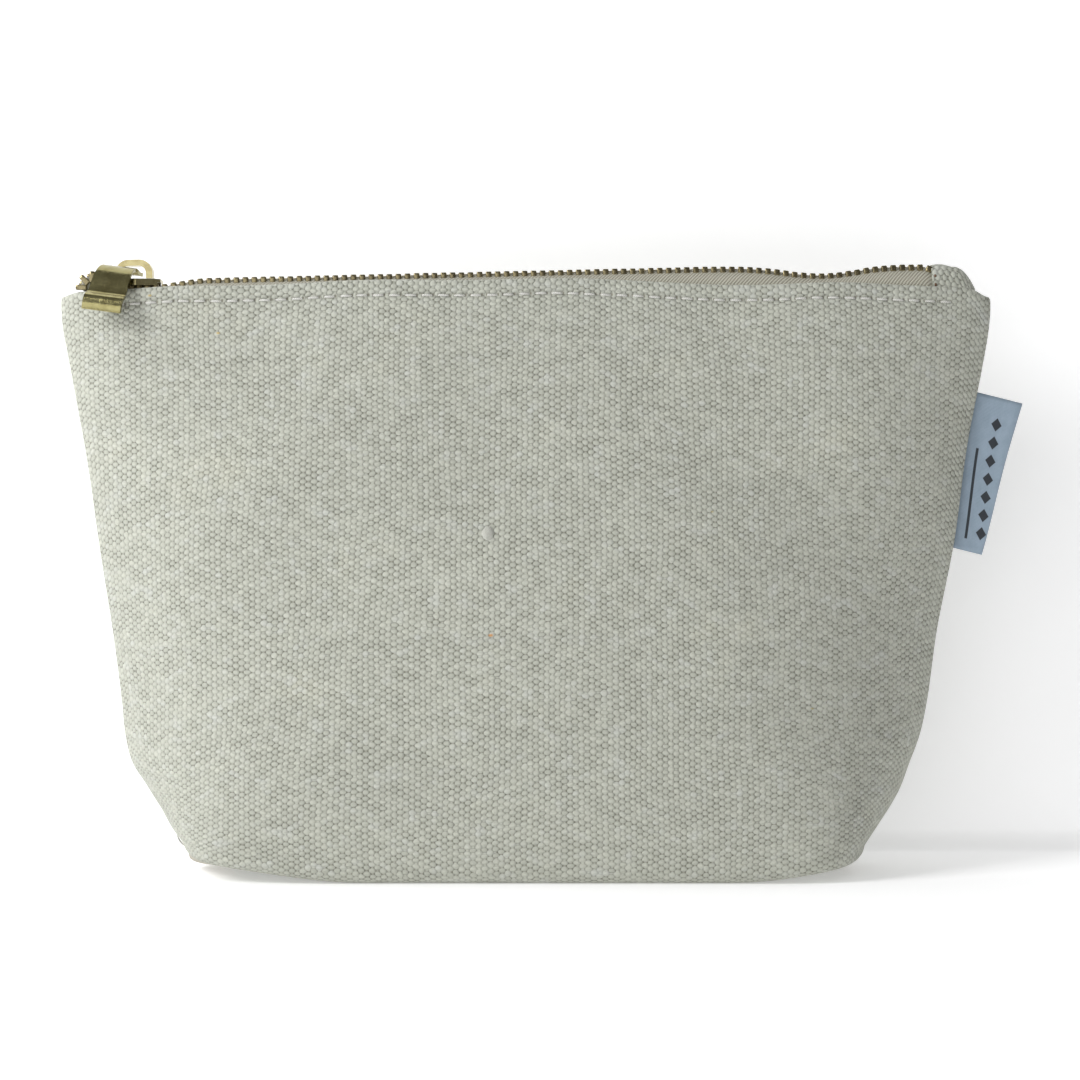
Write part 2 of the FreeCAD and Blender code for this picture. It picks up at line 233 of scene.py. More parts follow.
class Nodes:
    """Short calls for building a node tree. Arguments are numbers or other nodes' outputs."""

    def __init__(self, name):
        self.material = bpy.data.materials.new(name)
        self.material.use_nodes = True
        self.tree = self.material.node_tree
        self.shader = self.tree.nodes["Principled BSDF"]

    def plug(self, socket, value):
        if isinstance(value, bpy.types.NodeSocket):
            self.tree.links.new(value, socket)
        else:
            socket.default_value = value

    def math(self, operation, *values):
        node = self.tree.nodes.new("ShaderNodeMath")
        node.operation = operation
        for socket, value in zip(node.inputs, values):
            self.plug(socket, value)
        return node.outputs[0]

    def add(self, a, b):
        return self.math("ADD", a, b)

    def sub(self, a, b):
        return self.math("SUBTRACT", a, b)

    def mul(self, a, b):
        return self.math("MULTIPLY", a, b)

    def smooth(self, low, high, value):
        node = self.tree.nodes.new("ShaderNodeMapRange")
        node.interpolation_type = "SMOOTHSTEP"
        self.plug(node.inputs["Value"], value)
        self.plug(node.inputs["From Min"], low)
        self.plug(node.inputs["From Max"], high)
        return node.outputs["Result"]

    def uv(self):
        node = self.tree.nodes.new("ShaderNodeUVMap")
        node.uv_map = "cloth"
        parts = self.tree.nodes.new("ShaderNodeSeparateXYZ")
        self.tree.links.new(node.outputs[0], parts.inputs[0])
        return parts.outputs[0], parts.outputs[1]

    def place(self):
        """Position on the piece in millimetres."""
        node = self.tree.nodes.new("ShaderNodeTexCoord")
        scale = self.tree.nodes.new("ShaderNodeVectorMath")
        scale.operation = "SCALE"
        scale.inputs["Scale"].default_value = 1 / MM
        self.tree.links.new(node.outputs["Object"], scale.inputs[0])
        return scale.outputs[0]

    def vector(self, x, y, z=0.0):
        node = self.tree.nodes.new("ShaderNodeCombineXYZ")
        for socket, value in zip(node.inputs, (x, y, z)):
            self.plug(socket, value)
        return node.outputs[0]

    def noise(self, vector, scale, detail=2.0, roughness=0.5):
        node = self.tree.nodes.new("ShaderNodeTexNoise")
        self.plug(node.inputs["Vector"], vector)
        node.inputs["Scale"].default_value = scale
        node.inputs["Detail"].default_value = detail
        node.inputs["Roughness"].default_value = roughness
        return node.outputs[0]

    def random(self, vector):
        node = self.tree.nodes.new("ShaderNodeTexWhiteNoise")
        node.noise_dimensions = "3D"
        self.plug(node.inputs["Vector"], vector)
        return node.outputs["Value"]

    def mix(self, factor, a, b):
        node = self.tree.nodes.new("ShaderNodeMix")
        node.data_type = "RGBA"
        self.plug(node.inputs[0], factor)
        for socket, value in ((node.inputs[6], a), (node.inputs[7], b)):
            self.plug(socket, (*value, 1.0) if isinstance(value, tuple) else value)
        return node.outputs[2]

    def scale_colour(self, colour, factor):
        node = self.tree.nodes.new("ShaderNodeVectorMath")
        node.operation = "SCALE"
        self.plug(node.inputs[0], colour)
        self.plug(node.inputs["Scale"], factor)
        return node.outputs[0]

    def bump(self, height, distance, strength=1.0, under=None):
        node = self.tree.nodes.new("ShaderNodeBump")
        self.plug(node.inputs["Height"], height)
        node.inputs["Distance"].default_value = distance * MM
        node.inputs["Strength"].default_value = strength
        if under is not None:
            self.tree.links.new(under, node.inputs["Normal"])
        return node.outputs[0]

    def finish(self, colour, roughness, normal=None, **constants):
        self.plug(self.shader.inputs["Base Color"], (*colour, 1.0) if isinstance(colour, tuple) else colour)
        self.plug(self.shader.inputs["Roughness"], roughness)
        if normal is not None:
            self.tree.links.new(normal, self.shader.inputs["Normal"])
        for name, value in constants.items():
            self.shader.inputs[name.replace("_", " ")].default_value = value
        return self.material


float_width, float_height = 0.66, 0.86     # parts of two pitches that one weft float covers
warp_crown, warp_fall = 0.50, 0.48         # a warp thread's top, and its fall to its sides
float_unevenness = 0.26


def plain_weave(n, u, v, warp, weft, wander=0.24):
    """Height of a plain weave whose fat weft floats stand proud, and each float's random number."""
    slow = n.noise(n.vector(n.mul(u, 0.035), n.mul(v, 0.03)), 1.0, 1.0)
    fine = n.noise(n.vector(n.mul(u, 0.5), n.mul(v, 0.9), 4.0), 1.0, 1.0)
    shift_u = n.add(n.mul(n.sub(slow, 0.5), 9.0 * wander), n.mul(n.sub(fine, 0.5), 1.6 * wander))
    slow_v = n.noise(n.vector(n.mul(u, 0.02), n.mul(v, 0.02), 9.0), 1.0, 1.0)
    fine_v = n.noise(n.vector(n.mul(u, 0.4), n.mul(v, 0.9), 2.0), 1.0, 1.0)
    shift_v = n.add(n.mul(n.sub(slow_v, 0.5), 20.0 * wander), n.mul(n.sub(fine_v, 0.5), 1.8 * wander))
    across = n.add(n.mul(u, 1 / warp), shift_u)
    down = n.add(n.mul(v, 1 / weft), shift_v)

    def floats(offset):
        """Domes over every second crossing, and a random number for each dome."""
        half_u = n.mul(n.add(across, offset), 0.5)
        half_v = n.mul(n.add(down, offset), 0.5)
        off_u = n.sub(n.math("FRACT", n.add(half_u, 0.5)), 0.5)
        off_v = n.sub(n.math("FRACT", n.add(half_v, 0.5)), 0.5)
        reach = n.add(n.math("POWER", n.math("ABSOLUTE", n.mul(off_u, 2 / float_width)), 2.4),
                      n.math("POWER", n.math("ABSOLUTE", n.mul(off_v, 2 / float_height)), 2.2))
        dome = n.math("SQRT", n.math("MAXIMUM", n.sub(1.0, reach), 0.0))
        cell = n.vector(n.math("FLOOR", n.add(half_u, 0.5)), n.math("FLOOR", n.add(half_v, 0.5)), offset)
        return dome, n.random(cell)

    dome_a, each_a = floats(0.0)
    dome_b, each_b = floats(1.0)
    nearer = n.math("GREATER_THAN", dome_b, dome_a)
    each = n.add(n.mul(each_b, nearer), n.mul(each_a, n.sub(1.0, nearer)))
    near_u = n.sub(n.math("FRACT", n.add(across, 0.5)), 0.5)
    from_middle = n.math("POWER", n.math("ABSOLUTE", n.mul(near_u, 2.0)), 2.0)
    warp_top = n.sub(warp_crown, n.mul(from_middle, warp_fall))
    height = n.math("MAXIMUM", n.math("MAXIMUM", dome_a, dome_b), warp_top)
    height = n.add(height, n.mul(n.sub(each, 0.5), float_unevenness))
    pick = n.random(n.vector(0.0, n.math("FLOOR", n.add(down, 0.5)), 3.0))
    return height, each, pick


def canvas_material(name, light, dark, fleck=True, stitch_line=None):
    """Coarse ecru cotton: light floats, painted shade in the gaps and holes between them, slubs, mottling
    and a few husk flecks.
    """
    n = Nodes(name)
    u, v = n.uv()
    height, each, pick = plain_weave(n, u, v, warp_pitch, weft_pitch)
    gap_shade = n.smooth(0.66, 0.08, height)
    # painted shade: the deepest gaps of some floats are coloured as dark holes
    hole = n.mul(n.smooth(0.27, 0.08, height), n.smooth(0.30, 0.60, n.sub(1.0, each)))
    fibre = n.noise(n.vector(n.mul(u, 2.4), n.add(n.mul(v, 4.6), n.mul(u, 0.9))), 1.0, 3.0, 0.65)
    mottle = n.noise(n.vector(n.mul(u, 0.033), n.mul(v, 0.04)), 1.0, 4.0, 0.6)
    cool = n.smooth(0.45, 0.72, n.noise(n.vector(n.mul(u, 0.17), n.mul(v, 0.24), 11.0), 1.0, 3.0, 0.6))
    # painted shade: the gaps between the floats take the dark colour
    colour = n.mix(gap_shade, light, dark)
    colour = n.mix(n.mul(cool, n.mul(n.smooth(0.25, 0.9, each), 0.26)), colour, cool_yarn)
    colour = n.mix(n.mul(n.smooth(0.55, 0.8, mottle), 0.30), colour, warm_yarn)
    tone = n.add(0.90, n.mul(each, 0.13))
    tone = n.add(tone, n.mul(n.sub(pick, 0.5), 0.05))
    tone = n.add(tone, n.mul(n.sub(fibre, 0.5), 0.22))
    tone = n.add(tone, n.mul(n.sub(mottle, 0.5), 0.16))
    colour = n.scale_colour(colour, tone)
    colour = n.mix(n.mul(hole, 0.80), colour, pinhole_shade)
    if fleck:
        for at_u, at_v, size, tint in husks:
            away = n.math("SQRT", n.add(n.math("POWER", n.sub(u, at_u), 2.0),
                                        n.math("POWER", n.mul(n.sub(v, at_v), 1.6), 2.0)))
            colour = n.mix(n.mul(n.smooth(size, size * 0.3, away), 0.8), colour, tint)
    if stitch_line is not None:
        start, pitch, line_v, length = stitch_line
        phase = n.math("FRACT", n.mul(n.sub(u, start), 1 / pitch))
        near_end = n.math("MINIMUM", n.math("ABSOLUTE", n.sub(phase, 0.03)),
                          n.math("ABSOLUTE", n.sub(phase, length / pitch)))
        off_line = n.math("ABSOLUTE", n.sub(v, line_v))
        pierced = n.mul(n.smooth(0.11, 0.02, near_end), n.smooth(0.55, 0.12, off_line))
        inside = n.mul(n.smooth(start - 1, start, u), n.smooth(stitch_end + 1, stitch_end, u))
        pierced = n.mul(pierced, inside)
        # painted shade inside the needle holes along the stitch line
        colour = n.mix(n.mul(pierced, 0.75), colour, needle_hole_shade)
        dip = n.mul(n.mul(n.smooth(1.3, 0.0, off_line), inside), 0.9)
        height = n.sub(height, n.add(dip, n.mul(pierced, 0.5)))
    strands = n.bump(fibre, 0.16, 0.7)
    normal = n.bump(height, 0.36, 1.0, strands)
    return n.finish(colour, 0.93, normal, Sheen_Weight=0.12, Sheen_Roughness=0.6, Specular_IOR_Level=0.22)


def twill_material(name, light, dark):
    """Narrow cotton tape: fine diagonal ribs that turn back half way across, with painted shade in the
    troughs between the ribs.
    """
    n = Nodes(name)
    u, v = n.uv()
    wander = n.mul(n.sub(n.noise(n.vector(n.mul(u, 0.3), n.mul(v, 0.5)), 1.0, 2.0), 0.5), 0.25)
    ribs = n.math("SINE", n.mul(n.add(n.add(n.mul(u, 0.8), n.mul(v, 0.62)), wander), 2 * math.pi / 0.62))
    cross = n.math("SINE", n.mul(n.sub(n.mul(u, 0.55), n.mul(v, 0.9)), 2 * math.pi / 0.45))
    height = n.add(n.mul(ribs, 0.6), n.mul(cross, 0.25))
    fibre = n.noise(n.vector(n.mul(u, 5.0), n.mul(v, 5.0)), 1.0, 4.0, 0.7)
    mottle = n.noise(n.vector(n.mul(u, 0.2), n.mul(v, 0.4), 5.0), 1.0, 3.0)
    # painted shade: the troughs between the ribs take the dark colour
    colour = n.mix(n.smooth(0.5, -0.8, height), light, dark)
    tone = n.add(0.82, n.add(n.mul(fibre, 0.2), n.mul(mottle, 0.16)))
    colour = n.scale_colour(colour, tone)
    normal = n.bump(height, 0.09, 0.9, n.bump(fibre, 0.05, 0.5))
    return n.finish(colour, 0.9, normal, Sheen_Weight=0.1, Specular_IOR_Level=0.2)


def thread_material(name, light, dark):
    """Two-ply thread, its turns slanting across each stitch, with painted shade in the grooves between the
    turns.
    """
    n = Nodes(name)
    u, v = n.uv()
    turns = n.math("SINE", n.mul(n.add(n.mul(u, 1.0), n.mul(v, 0.9)), 2 * math.pi / 0.42))
    fuzz = n.noise(n.place(), 6.0, 3.0, 0.7)
    # painted shade: the grooves between the turns take the dark colour
    colour = n.mix(n.smooth(0.3, -0.9, turns), light, dark)
    colour = n.scale_colour(colour, n.add(0.85, n.mul(fuzz, 0.3)))
    normal = n.bump(turns, 0.05, 0.8)
    return n.finish(colour, 0.7, normal, Sheen_Weight=0.15, Specular_IOR_Level=0.3)


def brass_material(name, colour, worn, roughness, scratch=0.3):
    """Polished plated metal with faint tarnish, drawn scratches and brighter rubbed places."""
    n = Nodes(name)
    place = n.place()
    cloud = n.noise(place, 0.35, 4.0, 0.6)
    fine = n.noise(place, 3.5, 5.0, 0.65)
    parts = n.tree.nodes.new("ShaderNodeSeparateXYZ")
    n.tree.links.new(place, parts.inputs[0])
    drawn = n.noise(n.vector(n.mul(parts.outputs[0], 9.0), n.mul(parts.outputs[1], 1.2),
                             n.mul(parts.outputs[2], 1.2)), 1.0, 3.0, 0.6)
    tint = n.mix(n.smooth(0.35, 0.7, cloud), colour, worn)
    tint = n.scale_colour(tint, n.add(0.86, n.mul(fine, 0.24)))
    rough = n.add(roughness, n.mul(n.smooth(0.4, 0.75, fine), 0.16))
    rough = n.add(rough, n.mul(n.sub(drawn, 0.5), 0.10))
    normal = n.bump(drawn, 0.02, scratch, n.bump(cloud, 0.25, 0.25))
    return n.finish(tint, rough, normal, Metallic=1.0)


def label_material(name, light, dark, ink):
    """Satin ribbon with fine cross ribs, a thin printed rule and a row of diamonds."""
    n = Nodes(name)
    u, v = n.uv()
    ribs = n.math("SINE", n.mul(v, 2 * math.pi / 0.30))
    floats = n.math("SINE", n.mul(u, 2 * math.pi / 0.22))
    weave = n.add(n.mul(ribs, 0.6), n.mul(floats, 0.4))
    cloud = n.noise(n.vector(n.mul(u, 0.5), n.mul(v, 0.3)), 1.0, 3.0)
    fine = n.noise(n.vector(n.mul(u, 4.0), n.mul(v, 2.0)), 1.0, 3.0, 0.7)
    colour = n.mix(n.smooth(0.2, 0.8, cloud), light, dark)
    # a faint painted shade and highlight follows the ribs; the fine noise adds random tone
    colour = n.scale_colour(colour, n.add(0.9, n.add(n.mul(weave, 0.035), n.mul(fine, 0.16))))
    first, pitch, half_long, half_wide, diamonds_u, rule_u = 4.0, 4.1, 1.5, 1.2, 6.7, 3.4
    cell = n.sub(n.math("FRACT", n.mul(n.sub(v, first), 1 / pitch)), 0.5)
    diamond = n.add(n.mul(n.math("ABSOLUTE", cell), pitch / half_long),
                    n.mul(n.math("ABSOLUTE", n.sub(u, diamonds_u)), 1 / half_wide))
    inside = n.mul(n.smooth(3.9, 4.1, v), n.smooth(32.9, 32.7, v))
    marks = n.mul(n.smooth(1.04, 0.96, diamond), inside)
    rule = n.mul(n.smooth(0.34, 0.28, n.math("ABSOLUTE", n.sub(u, rule_u))),
                 n.mul(n.smooth(12.0, 12.2, v), n.smooth(32.6, 32.4, v)))
    print_here = n.math("MAXIMUM", marks, rule)
    colour = n.mix(n.mul(print_here, 0.95), colour, ink)
    normal = n.bump(weave, 0.03, 0.7)
    return n.finish(colour, 0.55, normal, Sheen_Weight=0.2, Specular_IOR_Level=0.4, Anisotropic=0.3)


# Specks of husk in the front cloth: place across and down the cloth, size, colour.
husks = [
    (-7.5, 80.5, 0.75, (0.55, 0.24, 0.05)),
    (-68.6, 11.0, 0.6, (0.62, 0.45, 0.16)),
    (-84.0, 2.0, 0.6, (0.55, 0.42, 0.16)),
    (41.0, 52.0, 0.5, (0.50, 0.44, 0.24)),
    (63.0, 96.0, 0.5, (0.46, 0.40, 0.20)),
]

stitch_pitch, stitch_length, stitch_drop = 3.63, 2.75, 3.1
stitch_start, stitch_end = -96.0, 95.0

# the light ecru is the floats' own colour, the dark ecru is painted shade in the weave's gaps
ecru_light, ecru_gap_shade = (0.520, 0.530, 0.460), (0.205, 0.210, 0.160)
cool_yarn, warm_yarn = (0.60, 0.62, 0.64), (0.62, 0.60, 0.47)
# painted shade seen inside the weave's pinholes and inside the needle holes
pinhole_shade, needle_hole_shade = (0.11, 0.105, 0.075), (0.16, 0.15, 0.11)
thread_bow = 0.43                  # the needle holes lie this far below the threads' line
pierced_line = (stitch_start, stitch_pitch, stitch_drop + thread_bow, stitch_length)
front_canvas = canvas_material("front_canvas", ecru_light, ecru_gap_shade, stitch_line=pierced_line)
tab_canvas = canvas_material("tab_canvas", ecru_light, ecru_gap_shade, fleck=False)
lining_cotton = twill_material("lining_cotton", (0.62, 0.59, 0.50), (0.42, 0.39, 0.32))
tape_twill = twill_material("tape_twill", (0.53, 0.515, 0.435), (0.28, 0.265, 0.205))
white_thread = thread_material("white_thread", (0.80, 0.80, 0.77), (0.50, 0.49, 0.44))
slub_yarn = thread_material("slub_yarn", (0.68, 0.69, 0.63), (0.50, 0.50, 0.44))
# this dark brown is painted shadow along the end tab's left edge
tab_edge_shadow_thread = thread_material("tab_edge_shadow_thread", (0.20, 0.115, 0.065), (0.10, 0.06, 0.035))
slider_brass = brass_material("slider_brass", (0.44, 0.39, 0.21), (0.33, 0.28, 0.14), 0.12)
puller_brass = brass_material("puller_brass", (0.34, 0.31, 0.15), (0.26, 0.23, 0.10), 0.13, 0.5)
tooth_brass = brass_material("tooth_brass", (0.27, 0.23, 0.13), (0.16, 0.135, 0.08), 0.20)
ribbon = label_material("ribbon", (0.325, 0.41, 0.50), (0.27, 0.35, 0.43), (0.010, 0.011, 0.015))


# ---------------------------------------------------------------- camera, light, stage

camera_place = Vector((3.2, -520.0, 74.3))
camera_lens = 76.6
stage_white = (0.93, 0.93, 0.935)
stage_glow = 0.28


def camera():
    """Level with the middle of the pouch, straight in front of it."""
    data = bpy.data.cameras.new("camera")
    data.sensor_width = 36.0
    data.lens = camera_lens
    eye = bpy.data.objects.new("camera", data)
    eye.location = camera_place * MM
    eye.rotation_euler = (math.radians(90), 0, 0)
    bpy.context.scene.collection.objects.link(eye)
    bpy.context.scene.camera = eye


def soft_light(name, place, target, size, power):
    data = bpy.data.lights.new(name, "AREA")
    data.shape = "RECTANGLE"
    data.size, data.size_y = size
    data.energy = power
    lamp = bpy.data.objects.new(name, data)
    lamp.location = place
    lamp.rotation_euler = (Vector(target) - Vector(place)).to_track_quat("-Z", "Y").to_euler()
    bpy.context.scene.collection.objects.link(lamp)


def stage():
    """A white floor that curves up into a wall close behind the pouch."""
    wall_y, bend, half, near, top, facets = 33.0, 5.0, 900.0, -700.0, 900.0, 12
    profile = [(near, 0.0), (wall_y - bend, 0.0)]
    for i in range(1, facets + 1):
        turn = math.pi / 2 * i / facets
        profile.append((wall_y - bend + bend * math.sin(turn), bend * (1 - math.cos(turn))))
    profile.append((wall_y, top))
    points = [(x, y, z) for y, z in profile for x in (-half, half)]
    sweep = mesh_object("stage", points, grid_faces(len(profile), 2))
    n = Nodes("stage_white")
    sweep.data.materials.append(n.finish(stage_white, 0.95, Specular_IOR_Level=0.0,
                                         Emission_Color=(1, 1, 1, 1), Emission_Strength=stage_glow))


camera()
stage()
soft_light("key", (-0.62, -0.38, 0.50), (0, 0, 0.06), (0.36, 0.36), 4.9)
soft_light("front", (-0.35, -0.85, 0.22), (0, 0, 0.07), (0.70, 0.40), 1.3)

world = bpy.data.worlds.new("studio")
world.use_nodes = True
world.node_tree.nodes["Background"].inputs[0].default_value = (1, 1, 1, 1)
world.node_tree.nodes["Background"].inputs[1].default_value = 0.24
bpy.context.scene.world = world
bpy.context.scene.view_settings.view_transform = "Standard"


# ---------------------------------------------------------------- cloth panels

def wall_rows(top, bottom, count):
    """Evenly spaced heights down a wall."""
    return [top + (bottom - top) * i / count for i in range(count + 1)]


hem_rows, fold_rows, wall_count, edge_rows, base_rows = 8, 6, 110, 6, 14
needle_dip, needle_pucker = 0.22, 0.05     # the cloth is drawn in along the stitches


def panel_grid(side, columns=150):
    """The panel's middle surface: hem, fold, wall, rounded edge, then half the base."""
    half = canvas / 2
    across = [-math.cos(math.pi * i / columns) for i in range(columns + 1)]
    across = [math.copysign(abs(q) ** 0.8, q) if q else 0.0 for q in across]
    grid = []
    hem_gap = 2 * fold_radius
    for i in range(hem_rows + 1):
        drop = hem * (1 - i / hem_rows) + fold_radius
        row = []
        for q in across:
            outer = cloth_point(q, fold_height - drop, side)
            squeeze = smoothstep(1.0, 0.97, abs(q))
            inner_y = outer.y - side * hem_gap * (seam_pinch + (1 - seam_pinch) * squeeze)
            row.append(Vector((outer.x * hem_inset, inner_y, fold_line(outer.x) - drop)))
        grid.append(row)
    for i in range(1, fold_rows):
        turn = math.pi * i / fold_rows
        row = []
        for q in across:
            outer = cloth_point(q, fold_height - fold_radius, side)
            squeeze = smoothstep(1.0, 0.97, abs(q))
            reach = fold_radius * (seam_pinch + (1 - seam_pinch) * squeeze)
            y = outer.y - side * reach * (1 + math.cos(turn))
            x = outer.x * (hem_inset + (1 - hem_inset) * (1 - math.cos(turn)) / 2)
            row.append(Vector((x, y, fold_line(outer.x) - fold_radius * (1 - math.sin(turn)))))
        grid.append(row)
    for z in wall_rows(fold_height - fold_radius, base_radius + half, wall_count):
        row = []
        share = (z - base_radius) / (fold_height - base_radius)
        for q in across:
            point = cloth_point(q, z, side)
            point.z += (fold_line(point.x) - fold_height) * smoothstep(0.6, 1.0, share)
            point.z += corner_lift(point.x) * smoothstep(20.0, 3.0, z)
            pucker = math.sin(2 * math.pi * (point.x - stitch_start) / stitch_pitch)
            under = fold_line(point.x) - point.z
            point.y += side * (needle_pucker * pucker - needle_dip) * bell(under, stitch_drop, 1.5)
            row.append(point)
        grid.append(row)
    edge = grid[-1]
    for i in range(1, edge_rows + 1):
        turn = math.pi / 2 * i / edge_rows
        row = []
        for p in edge:
            inset = base_radius * (1 - math.cos(turn))
            y = side * max(abs(p.y) - inset, 0.0)
            x = math.copysign(max(abs(p.x) - inset * 0.8, 0.0), p.x)
            lift = corner_lift(p.x)
            z = half + lift + base_radius * (1 - math.sin(turn))
            row.append(Vector((x, y, min(z, p.z))))
        grid.append(row)
    edge = grid[-1]
    for i in range(1, base_rows + 1):
        row = []
        for p in edge:
            share = 1 - i / base_rows
            ripple = 0.10 * noise.noise(Vector((p.x / 20, p.y * share / 14, side)))
            middle = p.z + (half - p.z) * smoothstep(1.0, 0.3, share) * smoothstep(76, 50, abs(p.x))
            row.append(Vector((p.x, p.y * share, middle + max(ripple, 0.0))))
        grid.append(row)
    return grid


def cloth_uvs(grid, origin_row):
    """Distances along the cloth from the middle column and down from one row."""
    middle = len(grid[0]) // 2
    columns = [[row[i] for row in grid] for i in range(len(grid[0]))]
    down = []
    for column in columns:
        run = lengths_along(column)
        down.append([value - run[origin_row] for value in run])
    uvs = []
    for j, row in enumerate(grid):
        run = lengths_along(row)
        uvs.append([(run[i] - run[middle], down[i][j]) for i in range(len(row))])
    return uvs


def make_panel(name, side, node):
    grid = panel_grid(side)
    uvs = cloth_uvs(grid, hem_rows + fold_rows // 2)
    piece = sheet_object(name, grid, uvs, canvas, flip=side > 0)
    return dress(piece, front_canvas, "pouch", "canvas", node)


make_panel("canvas_front", -1, "front_panel")
make_panel("canvas_back", 1, "back_panel")


def lining_grid(side, columns=60):
    across = [-math.cos(math.pi * i / columns) for i in range(columns + 1)]
    grid = []
    for z in wall_rows(fold_height - hem - 1.0, 5.0, 40):
        grid.append([cloth_point(q, z, side, lining_inset) for q in across])
    edge = grid[-1]
    floor_rows = 8
    for i in range(1, floor_rows + 1):
        share = 1 - i / floor_rows
        drop = 2.4 * smoothstep(1.0, 0.6, share)
        grid.append([Vector((p.x * (1 - 0.02 * i / floor_rows), p.y * share, p.z - drop)) for p in edge])
    return grid


def make_lining(name, side, node):
    grid = lining_grid(side)
    piece = sheet_object(name, grid, cloth_uvs(grid, 0), lining_cotton_thickness, flip=side > 0)
    dress(piece, lining_cotton, "pouch", "lining", node)


make_lining("lining_cloth_front", -1, "lining_front")
make_lining("lining_cloth_back", 1, "lining_back")


# ---------------------------------------------------------------- zip

def chain_wave(x):
    """How far the sewn chain strays above the slider's straight path."""
    start = smoothstep(slider_high.x - 1.0, -72.0, x)
    wave = 1.2 - 2.1 * bell(x, 67, 12) - 0.5 * smoothstep(76, 90, x) - 1.7 * smoothstep(89, 95, x)
    return wave * start


def chain_height(x):
    return chain_z + (x - slider_x) * chain_slope + chain_wave(x)


def row_spread(x):
    """How far each row of teeth stands off the middle, at and beyond the slider's front."""
    return 1.65 * smoothstep(slider_x + 0.9, slider_x - 3.3, x)


fan = Vector((-97.8, 0.0, 131.2))  # centre of the tapes' turned-down left ends
fan_edge = 2.6
fan_y = 1.5
fan_start, fan_step, fan_points = 188, 7.0, 19
tape_edge = 1.1                    # a tape's toothed edge from the middle of the chain
chain_step = 0.9


def edge_path(side):
    """The toothed edge of one tape, from its turned-down left end to the tab, with its outward way."""
    path = []
    for i in range(fan_points):
        angle = math.radians(fan_start - i * fan_step)
        out = Vector((math.cos(angle), 0, math.sin(angle)))
        path.append((fan + out * fan_edge + Vector((0, side * fan_y, 0)), out))
    start, way = path[-1]
    target = Vector((slider_low.x - 0.4, side * (row_spread(-200) + tape_edge), chain_height(slider_low.x)))
    steps = 8
    for i in range(1, steps + 1):
        t = i / steps
        turn = smoothstep(0, 1, t)
        out = (way * (1 - turn) + Vector((0, -side, 0)) * turn).normalized()
        place = start.lerp(target, t)
        place.z += 0.5 * math.sin(math.pi * t)
        path.append((place, out))
    x = slider_low.x
    while x < tape_high.x - 1.5:
        place = Vector((x, side * (tape_edge + row_spread(x)), chain_height(x)))
        path.append((place, Vector((0, -side, 0))))
        x += chain_step
    return path


def tape_piece(name, side, node):
    """The tape from its toothed edge to its sewn edge behind the canvas."""
    grid, uvs = [], []
    path = edge_path(side)
    run = lengths_along([place for place, out in path])
    for (place, out), along in zip(path, run):
        under = smoothstep(tab_low.x - 0.5, tab_low.x + 1.0, place.x)
        fanned = smoothstep(slider_low.x - 0.5, slider_low.x - 4.0, place.x)
        wall = abs(section_depth(place.x / widest, fold_height - 3)) - lining_inset
        wall = max(min(wall, 4.55), 1.9)
        wall += (2.4 - wall) * under
        top = fold_line(place.x) - 1.2
        row = []
        for j in range(17):
            t = j / 16
            y = abs(place.y) + (wall - abs(place.y)) * smoothstep(0.0, 0.36, t)
            slope = smoothstep(0.02, 0.40, t) * 0.55 + 0.45 * smoothstep(0.30, 1.0, t)
            bottom = top - 7.5
            z = place.z + (bottom - place.z) * (0.10 * t + 0.90 * slope * t ** 0.55)
            flat = Vector((place.x, side * y, z))
            hub = fan + Vector((1.6 + 1.8 * t, side * (fan_y + 0.3 * t), -1.5 - 6.0 * t))
            swept = place.lerp(hub, smoothstep(0, 1, t))
            row.append(flat.lerp(swept, fanned))
        grid.append(row)
        across = lengths_along(row)
        uvs.append([(along, a) for a in across])
    piece = sheet_object(name, grid, uvs, tape_thickness, flip=side < 0)
    return dress(piece, tape_twill, "pouch", "tape", node)


tape_piece("tape_front", -1, "zip_tape_front")
tape_piece("tape_back", 1, "zip_tape_back")


tooth_width, tooth_length, tooth_height = 1.34, 2.6, 1.55
tooth_middle = -0.6                # from the tape's edge
waist_start, waist_end = -0.5, 0.1
head_shrink, waist_shrink = (0.80, 0.62), (0.90, 0.85)     # along the chain, and in height
tooth_round = 0.26
tooth_shift = 0.45                 # the tooth's own origin stands this far out from the tape


def tooth_mesh():
    """One tooth, pointing to +Y from the tape's edge: rounded legs, a waist and a rounded head."""
    mesh = bmesh.new()
    bmesh.ops.create_cube(mesh, size=1.0)
    for vertex in mesh.verts:
        vertex.co = Vector((vertex.co.x * tooth_width, vertex.co.y * tooth_length + tooth_middle,
                            vertex.co.z * tooth_height))
    for cut in (waist_start, waist_end):
        bmesh.ops.bisect_plane(mesh, geom=mesh.verts[:] + mesh.edges[:] + mesh.faces[:],
                               plane_co=(0, cut, 0), plane_no=(0, 1, 0))
    for vertex in mesh.verts:
        if vertex.co.y > waist_start + 0.01:
            along, up = waist_shrink if vertex.co.y < waist_end + 0.01 else head_shrink
            vertex.co.x *= along
            vertex.co.z *= up
    sharp = [e for e in mesh.edges if e.calc_face_angle(0) > 0.6]
    bmesh.ops.bevel(mesh, geom=sharp, offset=tooth_round, segments=3, affect="EDGES", profile=0.5)
    points = [v.co.copy() for v in mesh.verts]
    faces = [tuple(v.index for v in f.verts) for f in mesh.faces]
    mesh.free()
    return points, faces


def walk(path, distance):
    """Place, direction and outward way at a distance along an edge path."""
    for (a, out_a), (b, out_b) in zip(path, path[1:]):
        step = (b - a).length
        if distance <= step:
            t = distance / step
            return a.lerp(b, t), (b - a).normalized(), out_a.lerp(out_b, t).normalized()
        distance -= step
    return None


